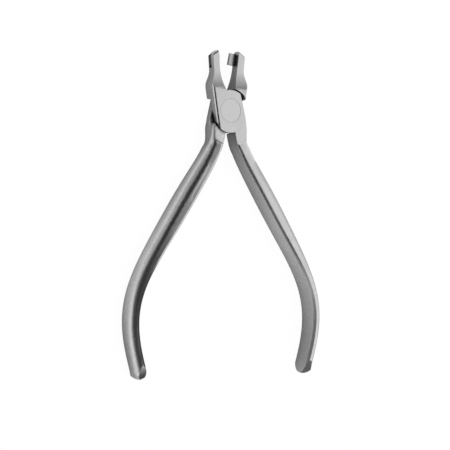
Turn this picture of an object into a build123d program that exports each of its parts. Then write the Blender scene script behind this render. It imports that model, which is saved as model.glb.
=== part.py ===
from build123d import *
from math import cos, radians, sin
import os

# Pose: how far each half stands open, and how much wider its handle stands than its beak, in degrees
front_opening = 12.0
back_opening = 11.0
front_splay = 0.85
back_splay = 1.65

# Lap joint: a flat plate on each half, and the two turn face to face
joint_thickness = 7.0
joint_half_width = 7.1
joint_side_drop = 4.0
neck_half_width = 5.7
neck_distance = 13.0
side_rounding = 1.0
lap_gap = 0.06
plate_top_radius = 8.6
plate_bottom_radius = 9.3
beak_shoulder_clearance = 0.35
handle_shoulder_clearance = 0.15
shoulder_draft = 5.0
ground_radius = 14.2
ground_ramp_width = 1.4
ground_ramp_height = 1.2

# Beaks
beak_length = 25.6
beak_base_width = 6.55
beak_base_height = 10.7
beak_tip_width = 3.1
beak_tip_height = 7.4
beak_waist_width = 3.8
beak_top_slope = 1.3
beak_tip_depth = 4.0
tip_half_gap = 0.08
front_beak_relief = 0.95
back_beak_relief = 0.45
relief_below_tip = 2.6
relief_middle = 14.8
relief_base = 0.4
cove_start = 8.9
cove_length = 8.2
beak_top_chamfer = 0.5

# Handles: the line that the flat inner face follows
crotch_half_gap = 0.3
handle_start = 5.0
root_line = 7.1
root_radius = 18.0
root_turn = 13.9
upper_radius = 147.0
upper_turn = 7.0
middle_length = 39.5
lower_radius = 46.9
lower_turn = 52.9
tail_length = 5.4

# Handles: where the sections stand, as shares of the line, and their sizes
waist_place = 0.048
neck_place = 0.075
swell_place = 0.115
upper_place = 0.175
grip_place = 0.32
fade_place = 0.5
lower_place = 0.67
tail_place = 0.8
root_width = 6.0
waist_width = 5.9
neck_width = 5.5
swell_width = 5.7
upper_width = 6.2
grip_width = 6.7
fade_width = 6.1
lower_width = 4.85
tail_width = 4.3
root_depth = 7.6
neck_depth = 8.0
swell_depth = 8.5
upper_depth = 9.0
grip_depth = 10.0
tail_depth = 10.2
root_corner = 0.4
handle_corner = 1.1
crown_share = 0.62
crown_rise = 0.92
back_handle_stock = 0.6
end_length = 9.0
end_rounding = 3.2

# Pivot rivet
rivet_shank_radius = 2.5
rivet_head_radius = 4.9
rivet_head_height = 1.6
rivet_tail_radius = 3.2
rivet_tail_height = 0.8
rivet_clearance = 0.04
rim_chamfer = 0.12

# Punch and die
punch_below_tip = 1.2
punch_height = 4.9
punch_thickness = 1.2
punch_offset = 0.8
punch_reach = 3.0
punch_tang = 1.6
die_clearance = 0.1
die_land = 1.5
die_relief = 0.2

half_thickness = joint_thickness / 2
punch_start = beak_length - punch_below_tip - punch_height
beyond = 2 * beak_length


def side_outline():
    """Outline of the joint between its two sides, which draw in towards the beaks and the neck."""
    with BuildSketch() as sides:
        with BuildLine():
            slope = (joint_half_width - beak_base_width) / (joint_side_drop + beak_base_height)
            edge = Line((joint_half_width - slope * (joint_side_drop + beak_length), beak_length),
                        (joint_half_width, -joint_side_drop))
            taper = TangentArc(edge @ 1, (neck_half_width, -neck_distance), tangent=edge % 1)
            Line(taper @ 1, (0, -neck_distance))
            Line((0, -neck_distance), (0, beak_length))
            Line((0, beak_length), edge @ 0)
        make_face()
        mirror(about=Plane.YZ)
    return sides.sketch


def joint_plate():
    """The plate of one half: round at both ends, on the front side of the lap plane."""
    with BuildPart() as plate:
        with BuildSketch(Plane.XY.offset(lap_gap / 2)):
            Circle(plate_bottom_radius)
            with Locations((0, plate_bottom_radius)):
                Rectangle(beyond, 2 * plate_bottom_radius, mode=Mode.SUBTRACT)
            with BuildSketch(mode=Mode.PRIVATE) as top:
                Circle(plate_top_radius)
            add(top.sketch)
            add(side_outline(), mode=Mode.INTERSECT)
        extrude(amount=half_thickness - lap_gap / 2)
        rims = plate.edges().filter_by_position(Axis.Z, half_thickness, half_thickness)
        fillet(rims.filter_by(lambda e: abs(e.center().X) > neck_half_width / 2
                              and abs((e % 0.5).Y) > 0.9), side_rounding)
    return plate.part


def beak(opening, relief):
    """The left beak: full thickness at its base, hollowed front and back by a cove towards the tip."""
    outer_start = (-beak_base_width, beak_base_height)
    outer_foot = (-beak_base_width - (joint_half_width - beak_base_width) * beak_base_height
                  / (joint_side_drop + beak_base_height), 0)
    waist = (-beak_waist_width, beak_length - beak_tip_height)
    top_outer = (-beak_tip_width, beak_length - beak_top_slope)
    inner_top = (-tip_half_gap, beak_length - relief_below_tip)
    inner_base = (-tip_half_gap - relief_base, cove_start)
    tip_half_depth = beak_tip_depth / 2
    cove_end = cove_start + cove_length
    with BuildPart() as blank:
        with BuildSketch():
            with BuildLine():
                Line((-tip_half_gap, 0), inner_base)
                ThreePointArc(inner_base, (-tip_half_gap - relief, relief_middle), inner_top)
                Line(inner_top, (-tip_half_gap, beak_length))
                Line((-tip_half_gap, beak_length), top_outer)
                tip_side = Line(top_outer, waist)
                foot_side = Line(outer_start, outer_foot)
                Spline(waist, outer_start, tangents=[tip_side % 1, foot_side % 0])
                Line(outer_foot, (-tip_half_gap, 0))
            make_face()
        extrude(amount=half_thickness, both=True)
        outer = blank.edges().filter_by(lambda e: abs(e.center().Z) > 0.9 * half_thickness
                                        and e.center().X < -beak_tip_width and e.center().Y < waist[1])
        fillet(outer.filter_by(lambda e: abs((e % 0.5).Y) > 0.3), side_rounding)
        # The coves are ground across both beaks at once, with the pliers open
        turn = radians(opening)
        across = Plane(origin=(0, 0, 0), x_dir=(sin(turn), cos(turn), 0), z_dir=(cos(turn), -sin(turn), 0))
        with BuildSketch(across):
            with BuildLine():
                hollow = TangentArc((cove_end, tip_half_depth), (cove_start, half_thickness), tangent=(-1, 0))
                Line(hollow @ 1, (cove_start, joint_thickness))
                Line((cove_start, joint_thickness), (beyond, joint_thickness))
                Line((beyond, joint_thickness), (beyond, tip_half_depth))
                Line((beyond, tip_half_depth), hollow @ 0)
            make_face()
            mirror(about=Plane.XZ)
        extrude(amount=beyond, both=True, mode=Mode.SUBTRACT)
        top = blank.faces().filter_by(lambda f: f.center().Y > beak_length - beak_top_slope).sort_by(Axis.Y)[-1]
        chamfer([edge for edge in top.edges() if abs(edge.center().Z) > 0.8 * tip_half_depth], beak_top_chamfer)
    return blank.part


def handle_route():
    """Line of the handle's inner face: straight root, two easy bends, a long curl and a straight tail."""
    with BuildLine() as route:
        root = Line((crotch_half_gap, -handle_start), (crotch_half_gap, -handle_start - root_line))
        bend = JernArc(root @ 1, root % 1, root_radius, root_turn)
        upper = JernArc(bend @ 1, bend % 1, upper_radius, upper_turn)
        middle = PolarLine(upper @ 1, middle_length, direction=upper % 1)
        lower = JernArc(middle @ 1, middle % 1, lower_radius, -lower_turn)
        PolarLine(lower @ 1, tail_length, direction=lower % 1)
    return route.wire()


def handle_section(route, place, stock, width, depth, corner, crown):
    """Section across the handle: flat inner face, rounded corners, and a crowned outer side."""
    here = route.position_at(place)
    along = route.tangent_at(place)
    outward = Vector(-along.Y, along.X, 0)
    plane = Plane(origin=here, x_dir=outward, z_dir=outward.cross(Vector(0, 0, 1)))
    half = depth / 2
    crown_start = width - crown[0]
    side_half = half - crown[1]
    with BuildSketch(plane) as section:
        with BuildLine():
            inner = Line((-stock, half - corner), (-stock, corner - half))
            back_corner = RadiusArc(inner @ 1, (corner - stock, -half), -corner)
            back = Line(back_corner @ 1, (crown_start, -half))
            back_crown = EllipticalCenterArc((crown_start, -side_half), *crown, -90, arc_size=90)
            side = Line(back_crown @ 1, (width, side_half))
            crown_top = EllipticalCenterArc((crown_start, side_half), *crown, 0, arc_size=90)
            front = Line(crown_top @ 1, (corner - stock, half))
            RadiusArc(front @ 1, inner @ 0, -corner)
        make_face()
    return section.sketch


def handle(stock):
    """The right handle, lofted through its sections, with a rounded end. Stock is extra steel inside."""
    route = handle_route()
    round_side = (side_rounding, side_rounding)

    def crowned(width, depth, share=1.0):
        return (share * crown_share * width, share * crown_rise * depth / 2)

    swell = (swell_place, 0.5 * stock, swell_width, swell_depth, 0.8 * handle_corner,
             crowned(swell_width, swell_depth, 0.85))
    root_sections = [
        (0.0, 0.25 * stock, root_width, root_depth, root_corner, round_side),
        (waist_place, 0.25 * stock, waist_width, root_depth, root_corner, round_side),
        (neck_place, 0.3 * stock, neck_width, neck_depth, 0.5 * handle_corner,
         crowned(neck_width, neck_depth, 0.55)),
        swell,
    ]
    grip_sections = [
        swell,
        (upper_place, 0.9 * stock, upper_width, upper_depth, handle_corner, crowned(upper_width, upper_depth)),
        (grip_place, stock, grip_width, grip_depth, handle_corner, crowned(grip_width, grip_depth)),
        (fade_place, 0.9 * stock, fade_width, grip_depth, handle_corner, crowned(fade_width, grip_depth)),
        (lower_place, 0.4 * stock, lower_width, tail_depth, handle_corner, crowned(lower_width, tail_depth)),
        (tail_place, 0.2 * stock, tail_width, tail_depth, handle_corner, crowned(tail_width, tail_depth)),
        (1.0, 0.2 * stock, tail_width, tail_depth, handle_corner, crowned(tail_width, tail_depth)),
    ]
    along = route % 1
    outward = Vector(-along.Y, along.X, 0)
    with BuildPart() as bar:
        for stations in (root_sections, grip_sections):
            for place, extra, width, depth, corner, crown in stations:
                add(handle_section(route, place, extra, width, depth, corner, crown))
            loft()
        with BuildSketch(Plane(origin=route @ 1, x_dir=along, z_dir=outward)):
            with Locations((-end_length, 0)):
                Rectangle(2 * end_length, 2 * tail_depth, align=(Align.MIN, Align.CENTER))
                Ellipse(end_length, tail_depth / 2, mode=Mode.SUBTRACT)
        extrude(amount=tail_depth, both=True, mode=Mode.SUBTRACT)
        with BuildSketch(Plane(origin=route @ 1, x_dir=along, z_dir=outward.cross(along))):
            with Locations((-end_length, end_rounding - tail_width)):
                Rectangle(2 * end_length, 2 * end_rounding, align=(Align.MIN, Align.MAX))
                Ellipse(end_length, end_rounding, mode=Mode.SUBTRACT)
        extrude(amount=tail_depth, both=True, mode=Mode.SUBTRACT)
    return bar.part


def lap_relief():
    """What one half leaves free behind the lap plane for the other half's plate to turn in."""
    with BuildPart() as relief:
        for radius, side in ((plate_top_radius + beak_shoulder_clearance, 1),
                             (plate_bottom_radius + handle_shoulder_clearance, -1)):
            with BuildSketch(Plane.XY.offset(lap_gap / 2)):
                Circle(radius)
                with Locations((0, -side * beyond / 2)):
                    Rectangle(beyond, beyond, mode=Mode.SUBTRACT)
            extrude(amount=-half_thickness - lap_gap, taper=-shoulder_draft)
    return relief.part


def ground_face():
    """The wheel that grinds both faces of the joint flat and leaves a ramp up to each handle."""
    with BuildPart() as wheel:
        with BuildSketch(Plane.XZ):
            with BuildLine():
                Polyline((0, half_thickness), (ground_radius, half_thickness),
                         (ground_radius + ground_ramp_width, half_thickness + ground_ramp_height),
                         (ground_radius + ground_ramp_width, joint_thickness), (0, joint_thickness), close=True)
            make_face()
        revolve(axis=Axis.Z)
        mirror(about=Plane.XY)
    return wheel.part


def forging(opening, splay, relief, stock):
    """One half of the pliers, closed: left beak, front plate and right handle."""
    with BuildPart() as half:
        add(beak(opening, relief))
        add(handle(stock).rotate(Axis.Z, splay))
        add(lap_relief(), mode=Mode.SUBTRACT)
        add(joint_plate())
        add(ground_face(), mode=Mode.SUBTRACT)
    return half.part


def arc_prism(start, height, x_from, x_to, z_centre, thickness):
    """A straight prism whose ends are arcs about the pivot, so that it can swing into its window."""
    with BuildPart() as prism:
        with BuildSketch(Plane.XY.offset(z_centre)):
            Circle(start + height)
            Circle(start, mode=Mode.SUBTRACT)
            with Locations(((x_from + x_to) / 2, start + height / 2)):
                Rectangle(x_to - x_from, 2 * start, mode=Mode.INTERSECT)
            split(bisect_by=Plane.XZ, keep=Keep.BOTTOM)
        extrude(amount=thickness / 2, both=True)
    return prism.part


def stepped(steps):
    """A round bar or bore on the pivot axis, from its steps of radius, lower end and upper end."""
    with BuildPart() as bar:
        for radius, low, high in steps:
            with BuildSketch(Plane.XY.offset(low)):
                Circle(radius)
            extrude(amount=high - low)
    return bar.part


def placed(part, angle):
    """Turn one half about the pivot to where it stands, and lift the lap plane to mid-thickness."""
    with BuildPart() as here:
        add(part.rotate(Axis.Z, angle).moved(Location((0, 0, half_thickness))))
    return here.part


def die_half():
    """Front half: its beak carries the die, a window that the punch drops into."""
    bore = rivet_shank_radius + rivet_clearance
    seat = rivet_head_radius + rivet_clearance
    seat_floor = half_thickness - rivet_head_height - rivet_clearance
    land_end = -tip_half_gap - die_land
    with BuildPart() as half:
        add(forging(front_opening, front_splay, front_beak_relief, 0))
        add(stepped([(bore, -lap_gap, joint_thickness), (seat, seat_floor, joint_thickness)]), mode=Mode.SUBTRACT)
        rim = half.edges().filter_by(GeomType.CIRCLE).filter_by(lambda e: abs(e.radius - seat) < rivet_clearance / 2)
        chamfer(rim.sort_by(Axis.Z)[-1], rim_chamfer)
        add(arc_prism(punch_start - die_clearance, punch_height + 2 * die_clearance, land_end, joint_half_width,
                      -punch_offset, punch_thickness + 2 * die_clearance), mode=Mode.SUBTRACT)
        add(arc_prism(punch_start - die_clearance - die_relief, punch_height + 2 * (die_clearance + die_relief),
                      -joint_half_width, land_end, -punch_offset,
                      punch_thickness + 2 * (die_clearance + die_relief)), mode=Mode.SUBTRACT)
    return placed(half.part, front_opening)


def punch_half():
    """Back half: the same kind of forging turned over, with a pocket for the punch in its beak."""
    with BuildPart() as half:
        add(forging(back_opening, back_splay, back_beak_relief, back_handle_stock).rotate(Axis.Y, 180))
        add(stepped([(rivet_shank_radius, -joint_thickness, lap_gap),
                     (rivet_tail_radius, -joint_thickness, rivet_tail_height - half_thickness)]), mode=Mode.SUBTRACT)
        add(arc_prism(punch_start, punch_height, -joint_half_width, tip_half_gap + punch_tang,
                      -punch_offset, punch_thickness), mode=Mode.SUBTRACT)
    return placed(half.part, -back_opening)


def punch():
    """The punch: its tang is pressed into the beak, and the rest stands out towards the die."""
    return placed(arc_prism(punch_start, punch_height, tip_half_gap - punch_reach, tip_half_gap + punch_tang,
                            -punch_offset, punch_thickness), -back_opening)


def pivot_rivet():
    """The rivet: flush head in the front plate, shank through both, tail spread in the back plate."""
    with BuildPart() as rivet:
        add(stepped([(rivet_shank_radius, -half_thickness, half_thickness),
                     (rivet_head_radius, half_thickness - rivet_head_height, half_thickness),
                     (rivet_tail_radius, -half_thickness, rivet_tail_height - half_thickness)]))
        chamfer(rivet.edges().sort_by(Axis.Z)[-1], rim_chamfer)
    return placed(rivet.part, -back_opening)


def main():
    os.makedirs("parts", exist_ok=True)
    for label, part in (("die_half", die_half()), ("punch_half", punch_half()),
                        ("punch", punch()), ("pivot_rivet", pivot_rivet())):
        part.label = label
        export_step(part, f"parts/{label}.step")


main()
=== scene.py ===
import math

import bmesh
import bpy
from mathutils import Matrix, Vector


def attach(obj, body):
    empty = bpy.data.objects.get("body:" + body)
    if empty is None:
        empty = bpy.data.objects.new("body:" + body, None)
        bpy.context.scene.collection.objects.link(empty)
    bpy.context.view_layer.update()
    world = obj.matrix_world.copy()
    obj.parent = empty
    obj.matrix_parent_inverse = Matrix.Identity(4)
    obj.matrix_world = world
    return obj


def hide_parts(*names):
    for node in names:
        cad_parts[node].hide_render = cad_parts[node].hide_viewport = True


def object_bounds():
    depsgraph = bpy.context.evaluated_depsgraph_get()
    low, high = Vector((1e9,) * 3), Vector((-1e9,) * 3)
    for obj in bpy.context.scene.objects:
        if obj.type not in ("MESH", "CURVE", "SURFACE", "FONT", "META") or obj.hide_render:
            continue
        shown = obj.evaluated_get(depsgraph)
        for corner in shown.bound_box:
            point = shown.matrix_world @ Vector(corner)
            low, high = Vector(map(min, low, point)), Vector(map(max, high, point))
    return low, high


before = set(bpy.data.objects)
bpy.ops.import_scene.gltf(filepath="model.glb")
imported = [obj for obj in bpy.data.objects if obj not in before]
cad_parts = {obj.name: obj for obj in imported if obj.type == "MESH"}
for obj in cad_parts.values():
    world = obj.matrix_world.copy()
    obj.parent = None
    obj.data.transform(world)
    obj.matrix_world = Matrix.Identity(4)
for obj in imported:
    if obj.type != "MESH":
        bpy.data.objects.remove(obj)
cad_low, cad_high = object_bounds()

MM = 0.001

# Camera, with its angles in degrees: it stands over the -X side, with the beaks at the top of the picture
CAMERA_TILT = 32.5
CAMERA_YAW = -0.293
CAMERA_ROLL = 0.772
CAMERA_DISTANCE = 700 * MM
CAMERA_LENS = 133.6
SENSOR_WIDTH = 36.0
CLIP_NEAR = 0.01
CLIP_FAR = 10
AIM_RIGHT = -0.518 * MM
AIM_UP = -47.838 * MM
PIVOT = Vector((0, 0, 3.5 * MM))

# Light dome, in degrees: its dark part is centred at a tilt from straight up towards +X, dark within the
# inner angle and light beyond the outer one
DOME_LEVEL = 1.3
DARK_TILT = -20
DARK_OUTER = 46
DARK_INNER = 34
DARK_LEVEL = 0.04
# The dome dims towards both ends of the pliers, over these spans of a direction's Y
BEYOND_BEAKS = (0.05, 0.82)
BEYOND_HANDLES = (-0.45, -0.9)
BEYOND_LEVEL = 0.1

# Table, with painted shadow and shade: spans of a place's openness and the levels over them, to the eye,
# in the steel and in narrow gaps
TABLE_SIDE = 1.5
TABLE_COLOR = (0.8, 0.8, 0.8, 1)
TABLE_SHADOW_REACH = 30 * MM
EYE_OPENNESS = (0.4, 0.75)
EYE_SHADE = (0.975, 1.0)
STEEL_OPENNESS = (0.88, 0.995)
GAP_OPENNESS = (0.4, 0.8)
GAP_SHADE = (0.35, 1.0)
# The painted level that the steel mirrors close to it: mm from the start towards the handle ends, and the
# level
NEAR_SHADE = ((0, 0.4), (10, 0.41), (30, 0.5), (50, 0.57), (70, 0.7), (90, 0.6), (110, 0.42), (120, 0.4))
NEAR_SHADE_START = 10 * MM
# The open table's painted level in the steel, from below the pivot to a place this far to the right
RIGHT_SHADE = (1.0, 0.6)
RIGHT_REACH = 60 * MM

# Merged copies of the solids
SHARP_ANGLE = 28.0
MERGE_DISTANCE = 1e-6

# Handles: the reach below the pivot and the spread to its left that a curve's whole width and height mean
HANDLE_REACH = 110 * MM
HANDLE_SPREAD = 50 * MM
# Hand finish: where each part of it starts or ends, as a span in mm below the pivot
SIDE_START = (4, 7)
FRONT_START = (12.5, 14.5)
RAMP_START = (10, 11)
RAMP_END = (24, 20)
ROOT_END = (17, 12)
LOWER_START = (45, 75)
# Inner edge of the back half's handle: mm below the pivot, and mm to its left
INNER_EDGE = ((0, 0), (14, 2.2), (22, 6.3), (30, 11.91), (40, 18.37), (50, 25.02), (60, 31.79), (70, 38.0),
              (80, 41.88), (90, 42.79), (100, 41.09), (110, 38))
# Crowns: the height of a forged normal and of the finished one, from a side (0) to straight up (1)
UPPER_CROWN = ((0, 0), (0.17, 0.14), (0.42, 0.34), (0.56, 0.48), (0.70, 0.62), (0.82, 0.74), (0.92, 0.87),
               (0.97, 0.94), (1, 0.987))
LOWER_CROWN = ((0, 0), (0.17, 0.16), (0.31, 0.30), (0.40, 0.46), (0.48, 0.61), (0.64, 0.74), (0.87, 0.85),
               (1, 0.955))
ROOT_LIFT = 0.2
# Front of that handle, in degrees: tilt at its inner edge, more for each mm outwards, and the lower tilt
EDGE_TILT = 6.3
FRONT_TILT = 0.7
LOWER_TILT = 17
# Chamfer of the other handle: its normal's height, as slope and start, on the upper and the lower part
CHAMFER_SLOPE = (0.28, 0.03)
CHAMFER_START = (0.706, 0.704)
LEVEL_HEIGHT = 0.999
# Which surface a forged normal belongs to, as spans of its parts along X, Y and Z
NOT_RIGHT = (0.06, 0.02)
FACING_UP = (0.0, 0.05)
FRONT_HEIGHT = (0.985, 0.999)
NOT_SIDE_HEIGHT = (0.97, 0.99)
CORNER_FROM_HEIGHT = (0.02, 0.06)
CORNER_TO_HEIGHT = (0.99, 0.97)
ROUNDED_HEIGHT = (0.45, 0.6)
RAMP_FACING_BEAKS = (0.02, 0.1)
RAMP_HEIGHT = (0.3, 0.5)
RAMP_NOT_LEFT = (-0.05, 0.05)
# The crowned part's normals are turned left, and a nudge keeps a level direction in those straight up
TURN_LEFT = -2.0
NUDGE_LEFT = (-0.01, 0, 0)

# Grains, crevice masks for painted shade, and roundings of the steels
SATIN_GRAIN = {"Turn": 0.0, "Stretch": (1, 1, 1), "Scale": 2200.0, "Height": 0.007 * MM}
GROUND_GRAIN = {"Turn": math.radians(-45), "Stretch": (0.06, 1, 1), "Scale": 2400.0, "Height": 0.002 * MM}
PUNCH_GRAIN = {"Turn": 0.0, "Stretch": (0.1, 1, 1), "Scale": 6000.0, "Height": 0.001 * MM}
NOISE_DETAIL = 3.0
GRAIN_ROUGHNESS = 0.6
GRAIN_MIDDLE = (0.35, 0.65)
# Painted shade in crevices, corners and narrow gaps: the reach of the openness, and where it starts and is
# full
FORGED_CREVICE_SHADE = {"Reach": 1.8 * MM, "Open": 0.85, "Shut": 0.5}
PUNCH_CREVICE_SHADE = {"Reach": 0.8 * MM, "Open": 0.75, "Shut": 0.4}
OPENNESS_SAMPLES = 8
GROUND_FLAT = {"From": 0.98, "To": 0.998}
FORGED_ROUNDING = 0.25 * MM
ROOT_ROUNDING = 2.2 * MM
ROOT_ROUNDING_START = (4 * MM, 6 * MM)
ROOT_ROUNDING_END = (13.5 * MM, 12 * MM)
PUNCH_ROUNDING = 0.12 * MM
ROUNDING_SAMPLES = 6
# Wear: likeness of the rounded and the true normal, from none to full
WORN_LIKENESS = (0.995, 0.85)
RIVET_RIM = {"Radius": 4.9 * MM, "Width": 0.3 * MM}
RIM_EDGE = (1.0, 0.8)
RIM_FACING_UP = (0.3, 0.5)
RIM_EASE = 0.9

# Greys and roughness of the steels
CLOUD_SCALE = 220.0
FORGED_GREYS = (0.58, 0.7)
SPECKLE = (0.82, 1.14)
GRINDING_LINES = (0.93, 1.05)
WORN_GREY = 0.72
# Painted shade: the grey that the crowned handle's end is darkened to, on faces that look along it away from
# the beaks
END_SHADE_GREY = 0.38
END_START = (96 * MM, 100 * MM)
END_FACING_DOWN = (-0.15, -0.45)
END_NOT_LEFT = (-0.6, -0.2)
# Painted shade: the grey that crevices, corners and narrow gaps are darkened to
CREVICE_SHADE_GREY = 0.08
PUNCH_GREYS = (0.42, 0.52)
RIVET_GREYS = (0.63, 0.685)
STEEL_ROUGHNESS = (0.24, 0.36)
PUNCH_ROUGHNESS = (0.2, 0.32)


def fill(node, values):
    """Join or set a node's inputs, by name or by place."""
    for name, value in values.items():
        if isinstance(value, bpy.types.NodeSocket):
            node.id_data.links.new(value, node.inputs[name])
        else:
            node.inputs[name].default_value = value
    return node


def adder(tree):
    """A function that adds a node to the tree, with its settings and its inputs."""
    def add(kind, inputs=(), **settings):
        node = tree.nodes.new(kind if kind.startswith("Node") else "ShaderNode" + kind)
        for name, value in settings.items():
            setattr(node, name, value)
        return fill(node, dict(inputs))
    return add


def emptied(owner):
    """The way to add nodes to a material or the world, emptied first."""
    owner.use_nodes = True
    owner.node_tree.nodes.clear()
    return adder(owner.node_tree)


def group(name, inputs, outputs):
    """An empty node group with its named inputs and outputs, and the way to add nodes to it."""
    tree = bpy.data.node_groups.new(name, "ShaderNodeTree")
    for side, sockets in (("INPUT", inputs), ("OUTPUT", outputs)):
        for socket, kind in sockets.items():
            tree.interface.new_socket(socket, in_out=side, socket_type="NodeSocket" + kind)
    add = adder(tree)
    return tree, add, add("NodeGroupInput").outputs, add("NodeGroupOutput")


def placed(add, tree, **values):
    """One of the groups in a material, with the material's own values."""
    return add("Group", values, node_tree=tree).outputs


def maths(add, operation, *values, **settings):
    """What a math operation makes of some values."""
    return add("Math", dict(enumerate(values)), operation=operation, **settings).outputs[0]


def vector_maths(add, operation, *values):
    """The vector that a vector operation makes of some vectors."""
    return add("VectorMath", dict(enumerate(values)), operation=operation).outputs[0]


def product(add, *values):
    """The product of some values."""
    total = values[0]
    for value in values[1:]:
        total = maths(add, "MULTIPLY", total, value)
    return total


def highest(add, *values):
    """The highest of some values."""
    top = values[0]
    for value in values[1:]:
        top = maths(add, "MAXIMUM", top, value)
    return top


def remap(add, value, old, new=(0, 1), way="LINEAR"):
    """The value carried from the old span to the new one, and held at its ends."""
    return add("MapRange", {"Value": value, "From Min": old[0], "From Max": old[1], "To Min": new[0],
                            "To Max": new[1]}, interpolation_type=way).outputs[0]


def step(add, value, span, new=(0, 1)):
    """The value carried over the span with a smooth start and end."""
    return remap(add, value, span, new, "SMOOTHSTEP")


def curve(add, value, points):
    """A smooth curve through the points, read at the value."""
    node = add("FloatCurve", {"Value": value})
    line = node.mapping.curves[0]
    line.points[0].location, line.points[-1].location = points[0], points[-1]
    for x, y in points[1:-1]:
        line.points.new(x, y)
    node.mapping.update()
    return node.outputs[0]


def mix_values(add, mask, low, high):
    """A value that goes from low to high with the mask."""
    return add("Mix", {0: mask, 2: low, 3: high}).outputs[0]


def mix_vectors(add, mask, low, high):
    """A vector that goes from low to high with the mask."""
    return add("Mix", {0: mask, 4: low, 5: high}, data_type="VECTOR").outputs[1]


def mix_colors(add, mask, low, high, blend="MIX"):
    """A colour that goes from low to high with the mask, or to their blend."""
    return add("Mix", {0: mask, 6: low, 7: high}, data_type="RGBA", blend_type=blend).outputs[2]


def grey(level):
    """A grey of this level."""
    return (level, level, level, 1)


def to_world(add, normal):
    """A normal of the piece's own space, in world space."""
    return add("VectorTransform", {0: normal}, vector_type="NORMAL", convert_from="OBJECT",
               convert_to="WORLD").outputs[0]


def surface_normal(add):
    """The surface's own normal in world space."""
    return add("NewGeometry").outputs["Normal"]


def openness(add, reach):
    """How open the space within the reach is round a point: 1 less the share of it that is blocked."""
    return add("AmbientOcclusion", {"Distance": reach}, samples=OPENNESS_SAMPLES).outputs["AO"]


def grain_group():
    """Grain: noise in object coordinates, turned about Z and drawn out by the stretch, as height."""
    tree, add, given, result = group("grain", {"Turn": "Float", "Stretch": "Vector", "Scale": "Float",
                                               "Height": "Float", "Normal": "Vector"},
                                     {"Grain": "Float", "Normal": "Vector"})
    turned = add("VectorRotate", {"Vector": add("TexCoord").outputs["Object"], "Angle": given["Turn"]},
                 rotation_type="Z_AXIS").outputs[0]
    noise = add("TexNoise", {"Vector": vector_maths(add, "MULTIPLY", turned, given["Stretch"]),
                             "Scale": given["Scale"], "Detail": NOISE_DETAIL,
                             "Roughness": GRAIN_ROUGHNESS}).outputs["Fac"]
    bump = add("Bump", {"Height": noise, "Distance": given["Height"], "Strength": 1.0,
                        "Normal": given["Normal"]}).outputs[0]
    fill(result, {"Grain": noise, "Normal": bump})
    return tree


def crevice_shade_group():
    """Painted shade mask: from 0 where a point's openness is the open value, to 1 where it is the shut one.
    """
    tree, add, given, result = group("crevice_shade", {"Reach": "Float", "Open": "Float", "Shut": "Float"},
                                     {"Crevice": "Float"})
    fill(result, {"Crevice": remap(add, openness(add, given["Reach"]), (given["Open"], given["Shut"]))})
    return tree


def wear_group():
    """Edge wear: where the rounded normal leaves the true one, so on edges within the radius.

    The likeness of the two is their dot product.
    """
    tree, add, given, result = group("edge wear", {"Radius": "Float", "Normal": "Vector"},
                                     {"Edge": "Float", "Normal": "Vector"})
    soft = add("Bevel", {"Radius": given["Radius"], "Normal": given["Normal"]},
               samples=ROUNDING_SAMPLES).outputs[0]
    likeness = add("VectorMath", {0: soft, 1: surface_normal(add)}, operation="DOT_PRODUCT").outputs["Value"]
    fill(result, {"Edge": remap(add, likeness, WORN_LIKENESS), "Normal": soft})
    return tree


def flat_group():
    """Ground flat: faces that look straight up or down, where the wheel has been.

    It grows with the height of the normal along Z, up or down, from one value to the other.
    """
    tree, add, given, result = group("ground flat", {"From": "Float", "To": "Float"}, {"Flat": "Float"})
    height = add("SeparateXYZ", {0: add("TexCoord").outputs["Normal"]}).outputs["Z"]
    fill(result, {"Flat": remap(add, maths(add, "ABSOLUTE", height), (given["From"], given["To"]))})
    return tree


def rim_group():
    """Rivet rim: a ring about the pivot's axis, where the seam round the head is rubbed flush.

    A point is in the ring where its distance from the axis is within the width of the radius. There its
    normal is drawn towards straight up.
    """
    tree, add, given, result = group("rivet rim", {"Radius": "Float", "Width": "Float", "Normal": "Vector"},
                                     {"Rim": "Float", "Normal": "Vector"})
    coord = add("TexCoord").outputs
    in_plane = vector_maths(add, "MULTIPLY", coord["Object"], (1, 1, 0))
    distance = add("VectorMath", {0: in_plane}, operation="LENGTH").outputs["Value"]
    off = maths(add, "ABSOLUTE", maths(add, "SUBTRACT", distance, given["Radius"]))
    upwards = add("SeparateXYZ", {0: coord["Normal"]}).outputs["Z"]
    rim = product(add, step(add, maths(add, "DIVIDE", off, given["Width"]), RIM_EDGE),
                  step(add, upwards, RIM_FACING_UP))
    eased = mix_vectors(add, product(add, rim, RIM_EASE), given["Normal"], to_world(add, (0, 0, 1)))
    fill(result, {"Rim": rim, "Normal": eased})
    return tree


def below(add, down, span):
    """From 0 to 1 over a span in mm below the pivot."""
    return step(add, down, [y * MM / HANDLE_REACH for y in span])


def front_height(add, outwards, down, lower):
    """Height of a normal on the front of the back half's handle: the cosine of its tilt.

    On the upper handle the tilt is its value at the inner edge, plus more for each mm outwards from it. On
    the lower handle it is the same all over.
    """
    inner = curve(add, down, [(y * MM / HANDLE_REACH, x * MM / HANDLE_SPREAD) for y, x in INNER_EDGE])
    across = maths(add, "SUBTRACT", outwards, inner)
    tilt = maths(add, "MULTIPLY_ADD", across, HANDLE_SPREAD / MM * math.radians(FRONT_TILT),
                 math.radians(EDGE_TILT))
    return maths(add, "COSINE", mix_values(add, lower, tilt, math.radians(LOWER_TILT)))


def crown_height(add, forged_height, down, lower, front):
    """Height of a normal on the back half's handle, from the height of the forged one.

    It is read from one curve on the upper handle and from one on the lower, a share nearer to straight up
    on the side of the root, and on the front it is the front's own.
    """
    bent = mix_values(add, lower, curve(add, forged_height, UPPER_CROWN),
                      curve(add, forged_height, LOWER_CROWN))
    root = product(add, below(add, down, SIDE_START), below(add, down, ROOT_END), ROOT_LIFT)
    return mix_values(add, step(add, forged_height, FRONT_HEIGHT), mix_values(add, root, bent, 1.0), front)


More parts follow.
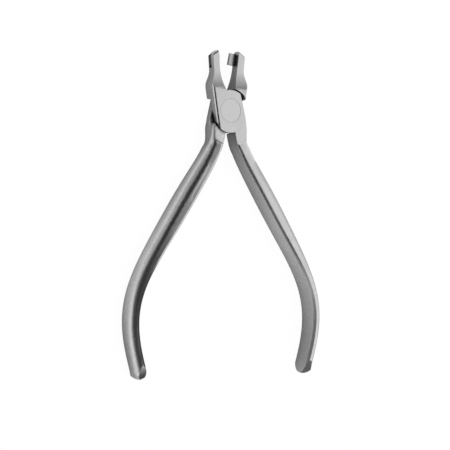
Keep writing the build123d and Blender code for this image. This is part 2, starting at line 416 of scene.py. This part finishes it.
def chamfer_height(add, forged_height, lower):
    """Height of a normal on the front half's inner corner: a slope times the forged height, plus a start."""
    return maths(add, "MULTIPLY_ADD", forged_height, mix_values(add, lower, *CHAMFER_SLOPE),
                 mix_values(add, lower, *CHAMFER_START))


def crown_and_corner(add, forged, down, lower, given):
    """Where the back half's handle is crowned, and where the front half's inner corner is chamfered.

    The crown is on the faces that look up but not right, and on the lower handle over the rounded edge
    too. The corner is on the faces that don't look right, between the side and the front. Both start at
    the handle's root.
    """
    not_right = step(add, forged["X"], NOT_RIGHT)
    over_edge = highest(add, not_right, product(add, lower, step(add, forged["Z"], ROUNDED_HEIGHT)))
    handle = mix_values(add, step(add, forged["Z"], NOT_SIDE_HEIGHT), below(add, down, SIDE_START),
                        below(add, down, FRONT_START))
    crowned = product(add, over_edge, handle, step(add, forged["Z"], FACING_UP), given["Crown"])
    corner = product(add, step(add, forged["Z"], CORNER_FROM_HEIGHT),
                     step(add, forged["Z"], CORNER_TO_HEIGHT), not_right, handle, given["Chamfer"])
    return crowned, corner


def ramps(add, forged, down, given):
    """Where the ramp below the ground flat is, on the front half and on the back half.

    Its faces look up and towards the beaks, on a short stretch below the flat. On the back half those that
    look left are the handle's, so they are left out.
    """
    ramp = product(add, step(add, forged["Y"], RAMP_FACING_BEAKS), step(add, forged["Z"], RAMP_HEIGHT),
                   below(add, down, RAMP_START), below(add, down, RAMP_END))
    return (product(add, ramp, given["Chamfer"]),
            product(add, ramp, given["Crown"], step(add, forged["X"], RAMP_NOT_LEFT)))


def raised(add, direction, height):
    """A unit vector: the direction times the root of 1 less the height squared, plus the height along Z."""
    left_over = maths(add, "SUBTRACT", 1.0, product(add, height, height), use_clamp=True)
    level = add("VectorMath", {0: direction, "Scale": maths(add, "SQRT", left_over)}, operation="SCALE")
    return vector_maths(add, "ADD", level.outputs[0], add("CombineXYZ", {"Z": height}).outputs[0])


def hand_finish_group():
    """Hand finish of the handles: the forged normals, bent as the belt leaves them.

    A finished normal is a direction in the joint's plane, raised to a height. The direction is the forged
    one, but on the crown its X is turned to the left and on the back half's ramp it is straight left. The
    height is the crown's, the corner's or the front's, and the front half's ramp is nearly level.
    """
    tree, add, given, result = group("hand finish", {"Crown": "Float", "Chamfer": "Float"},
                                     {"Normal": "Vector"})
    coord = add("TexCoord").outputs
    place = add("SeparateXYZ", {0: coord["Object"]}).outputs
    forged = add("SeparateXYZ", {0: coord["Normal"]}).outputs
    down = maths(add, "MULTIPLY", place["Y"], -1 / HANDLE_REACH)
    outwards = maths(add, "MULTIPLY", place["X"], -1 / HANDLE_SPREAD)
    lower = below(add, down, LOWER_START)
    crowned, corner = crown_and_corner(add, forged, down, lower, given)
    front_ramp, back_ramp = ramps(add, forged, down, given)

    front = front_height(add, outwards, down, lower)
    height = mix_values(add, crowned, forged["Z"], crown_height(add, forged["Z"], down, lower, front))
    height = mix_values(add, corner, height, chamfer_height(add, forged["Z"], lower))
    height = mix_values(add, front_ramp, height, LEVEL_HEIGHT)
    height = mix_values(add, back_ramp, height, front)

    leftwards = maths(add, "MULTIPLY", maths(add, "ABSOLUTE", forged["X"]), TURN_LEFT)
    sideways = mix_values(add, back_ramp, mix_values(add, crowned, forged["X"], leftwards), -1.0)
    lengthways = mix_values(add, back_ramp, forged["Y"], 0.0)
    in_plane = add("CombineXYZ", {"X": sideways, "Y": lengthways}).outputs[0]
    direction = vector_maths(add, "NORMALIZE", vector_maths(add, "ADD", in_plane, NUDGE_LEFT))

    changed = highest(add, crowned, corner, front_ramp, back_ramp)
    finished = mix_vectors(add, changed, coord["Normal"], raised(add, direction, height))
    fill(result, {"Normal": to_world(add, finished)})
    return tree


def finish_steel(add, base, grain, roughness, normal):
    """A metal shader with this base colour and normal, rougher where the grain is high."""
    rough = remap(add, grain, (0, 1), roughness)
    steel = add("BsdfPrincipled", {"Base Color": base, "Metallic": 1.0, "Roughness": rough, "Normal": normal})
    add("OutputMaterial", {0: steel.outputs[0]})


def forged_steel(groups, name, crown, chamfer):
    """The halves' steel: satin all over, ground on its flats, worn bright on edges, with painted shade
    in the corners and on the crowned handle's end.

    Crown is 1 on the half whose handle is crowned, and chamfer is 1 on the half whose handle is chamfered.
    """
    material = bpy.data.materials.new(name)
    add = emptied(material)
    place = add("TexCoord").outputs
    forged = add("SeparateXYZ", {0: place["Normal"]}).outputs
    down = maths(add, "MULTIPLY", add("SeparateXYZ", {0: place["Object"]}).outputs["Y"], -1.0)

    finish = placed(add, groups["hand"], Crown=crown, Chamfer=chamfer)
    root = product(add, step(add, down, ROOT_ROUNDING_START), step(add, down, ROOT_ROUNDING_END), crown)
    wear = placed(add, groups["wear"], Radius=mix_values(add, root, FORGED_ROUNDING, ROOT_ROUNDING),
                  Normal=finish["Normal"])
    rim = placed(add, groups["rim"], Normal=wear["Normal"], **RIVET_RIM)
    satin = placed(add, groups["grain"], Normal=wear["Normal"], **SATIN_GRAIN)
    ground = placed(add, groups["grain"], Normal=rim["Normal"], **GROUND_GRAIN)
    flat = placed(add, groups["flat"], **GROUND_FLAT)["Flat"]
    crevice_shade = placed(add, groups["crevice_shade"], **FORGED_CREVICE_SHADE)["Crevice"]

    cloud = add("TexNoise", {"Vector": place["Object"], "Scale": CLOUD_SCALE,
                             "Detail": NOISE_DETAIL}).outputs["Fac"]
    base = mix_colors(add, cloud, *(grey(level) for level in FORGED_GREYS))
    speckle = remap(add, satin["Grain"], GRAIN_MIDDLE, SPECKLE)
    lines = remap(add, ground["Grain"], GRAIN_MIDDLE, GRINDING_LINES)
    base = mix_colors(add, 1.0, base, mix_values(add, flat, speckle, lines), "MULTIPLY")
    base = mix_colors(add, wear["Edge"], base, grey(WORN_GREY))
    # Painted shade: the crowned handle's end is darkened on faces that look along it away from the beaks
    end = product(add, step(add, down, END_START), step(add, forged["Y"], END_FACING_DOWN),
                  step(add, forged["X"], END_NOT_LEFT), crown)
    base = mix_colors(add, end, base, grey(END_SHADE_GREY))
    # Painted shade: darker where the openness round a point is low, in crevices, corners and narrow gaps
    base = mix_colors(add, crevice_shade, base, grey(CREVICE_SHADE_GREY))

    grain = mix_values(add, flat, satin["Grain"], ground["Grain"])
    normal = mix_vectors(add, highest(add, flat, rim["Rim"]), satin["Normal"], ground["Normal"])
    finish_steel(add, base, grain, STEEL_ROUGHNESS, normal)
    return material


def hardened_steel(groups):
    """The punch: fine-ground tool steel, darker than the halves."""
    material = bpy.data.materials.new("hardened punch steel")
    add = emptied(material)
    wear = placed(add, groups["wear"], Radius=PUNCH_ROUNDING, Normal=surface_normal(add))
    ground = placed(add, groups["grain"], Normal=wear["Normal"], **PUNCH_GRAIN)
    crevice_shade = placed(add, groups["crevice_shade"], **PUNCH_CREVICE_SHADE)["Crevice"]
    base = mix_colors(add, ground["Grain"], *(grey(level) for level in PUNCH_GREYS))
    # Painted shade: darker where the openness round a point is low, in crevices and corners
    base = mix_colors(add, crevice_shade, base, grey(CREVICE_SHADE_GREY))
    finish_steel(add, base, ground["Grain"], PUNCH_ROUGHNESS, ground["Normal"])
    return material


def ground_steel(groups):
    """The rivet: ground flush with the joint in the same pass as the plate."""
    material = bpy.data.materials.new("ground rivet steel")
    add = emptied(material)
    rim = placed(add, groups["rim"], Normal=surface_normal(add), **RIVET_RIM)
    ground = placed(add, groups["grain"], Normal=rim["Normal"], **GROUND_GRAIN)
    base = mix_colors(add, remap(add, ground["Grain"], GRAIN_MIDDLE), *(grey(level) for level in RIVET_GREYS))
    finish_steel(add, base, ground["Grain"], STEEL_ROUGHNESS, ground["Normal"])
    return material


def merged_copy(node, name):
    """The CAD solid's own surface with its loose triangles joined, and smooth between its sharp edges."""
    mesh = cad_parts[node].data.copy()
    mesh.name = name
    work = bmesh.new()
    work.from_mesh(mesh)
    bmesh.ops.remove_doubles(work, verts=work.verts, dist=MERGE_DISTANCE)
    for face in work.faces:
        face.smooth = True
    for edge in work.edges:
        if len(edge.link_faces) != 2 or edge.calc_face_angle(0) > math.radians(SHARP_ANGLE):
            edge.smooth = False
    work.to_mesh(mesh)
    work.free()
    piece = bpy.data.objects.new(name, mesh)
    bpy.context.scene.collection.objects.link(piece)
    even = piece.modifiers.new("normals by face area", "WEIGHTED_NORMAL")
    even.keep_sharp = True
    return piece


def studio():
    """World: a soft light dome with a dark part round the camera, dimmer beyond both ends of the pliers.

    A direction is in the dark part where its dot product with the part's centre is above the cosine of
    the part's half angle.
    """
    world = bpy.data.worlds.new("studio")
    bpy.context.scene.world = world
    add = emptied(world)
    centre = math.radians(DARK_TILT)
    way = add("TexCoord").outputs["Generated"]
    nearness = add("VectorMath", {0: way, 1: (math.sin(centre), 0, math.cos(centre))},
                   operation="DOT_PRODUCT").outputs["Value"]
    part = step(add, nearness, [math.cos(math.radians(angle)) for angle in (DARK_OUTER, DARK_INNER)],
                (DOME_LEVEL, DARK_LEVEL))
    along = add("SeparateXYZ", {0: way}).outputs["Y"]
    dimmed = [step(add, along, span, (1.0, BEYOND_LEVEL)) for span in (BEYOND_BEAKS, BEYOND_HANDLES)]
    light = add("Background", {"Strength": product(add, part, *dimmed)})
    add("OutputWorld", {0: light.outputs[0]})


def table_material():
    """Table: paper to the light, white to the camera, and to the steel white with a painted shade close to
    it.

    The camera's white keeps a very faint painted shadow, from the openness round each point. The level that
    the
    steel mirrors is a painted shade: it goes from a shade close to the pliers, read from a curve along them,
    to the open table's, and is darker in narrow gaps.
    """
    material = bpy.data.materials.new("white table")
    add = emptied(material)
    place = add("SeparateXYZ", {0: add("TexCoord").outputs["Object"]}).outputs
    open_share = openness(add, TABLE_SHADOW_REACH)
    length = NEAR_SHADE[-1][0]
    along = remap(add, place["Y"], (NEAR_SHADE_START, NEAR_SHADE_START - length * MM))
    near = curve(add, along, [(y / length, level) for y, level in NEAR_SHADE])
    beside = remap(add, place["X"], (0.0, RIGHT_REACH), RIGHT_SHADE)
    mirrored = product(add, remap(add, open_share, STEEL_OPENNESS, (near, beside)),
                       remap(add, open_share, GAP_OPENNESS, GAP_SHADE))
    paper = add("BsdfDiffuse", {"Color": TABLE_COLOR}).outputs[0]
    white = add("Emission", {"Strength": remap(add, open_share, EYE_OPENNESS, EYE_SHADE)}).outputs[0]
    glow = add("Emission", {"Strength": mirrored}).outputs[0]
    path = add("LightPath").outputs
    by_steel = add("MixShader", {0: path["Is Glossy Ray"], 1: paper, 2: glow}).outputs[0]
    by_eye = add("MixShader", {0: path["Is Camera Ray"], 1: by_steel, 2: white}).outputs[0]
    add("OutputMaterial", {0: by_eye})
    return material


def table():
    """A wide square table under the lowest point of the pliers."""
    mesh = bpy.data.meshes.new("table")
    side, height = TABLE_SIDE, cad_low.z
    corners = [(x * side, y * side, height) for x, y in ((-1, -1), (1, -1), (1, 1), (-1, 1))]
    mesh.from_pydata(corners, [], [(0, 1, 2, 3)])
    mesh.materials.append(table_material())
    plane = bpy.data.objects.new("table", mesh)
    bpy.context.scene.collection.objects.link(plane)


def camera():
    """Camera on a circle about the joint's Y axis, turned by yaw and roll, aimed past the pivot.

    It stands at the pivot, plus the distance backwards, plus the aim along its own right and up directions.
    """
    tilt, yaw, roll = (math.radians(angle) for angle in (CAMERA_TILT, CAMERA_YAW, CAMERA_ROLL))
    back = Vector((-math.sin(tilt) * math.cos(yaw), math.sin(yaw), math.cos(tilt) * math.cos(yaw)))
    level = Vector((0, 1, 0)).cross(back).normalized()
    upright = back.cross(level)
    right = level * math.cos(roll) + upright * math.sin(roll)
    up = upright * math.cos(roll) - level * math.sin(roll)
    place = PIVOT + back * CAMERA_DISTANCE + right * AIM_RIGHT + up * AIM_UP
    data = bpy.data.cameras.new("camera")
    data.lens = CAMERA_LENS
    data.sensor_width = SENSOR_WIDTH
    data.clip_start = CLIP_NEAR
    data.clip_end = CLIP_FAR
    eye = bpy.data.objects.new("camera", data)
    eye.matrix_world = Matrix(((right.x, up.x, back.x, place.x), (right.y, up.y, back.y, place.y),
                               (right.z, up.z, back.z, place.z), (0, 0, 0, 1)))
    bpy.context.scene.collection.objects.link(eye)
    bpy.context.scene.camera = eye


groups = {"grain": grain_group(), "crevice_shade": crevice_shade_group(), "wear": wear_group(), "flat": flat_group(),
          "hand": hand_finish_group(), "rim": rim_group()}
front_steel = forged_steel(groups, "satin forged steel, front half", crown=0.0, chamfer=1.0)
back_steel = forged_steel(groups, "satin forged steel, back half", crown=1.0, chamfer=0.0)
punch_steel = hardened_steel(groups)
rivet_steel = ground_steel(groups)
for node, body, name, material, slot in (
        ("die_half", "die_side", "front_half_surface", front_steel, "satin_steel"),
        ("punch_half", "punch_side", "back_half_surface", back_steel, "satin_steel"),
        ("punch", "punch_side", "punch_surface", punch_steel, "hardened_steel"),
        ("pivot_rivet", "punch_side", "rivet_surface", rivet_steel, "ground_steel")):
    piece = merged_copy(node, name)
    piece.data.materials.clear()
    piece.data.materials.append(material)
    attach(piece, body)
    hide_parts(node)

studio()
table()
camera()
bpy.context.scene.view_settings.view_transform = "Standard"
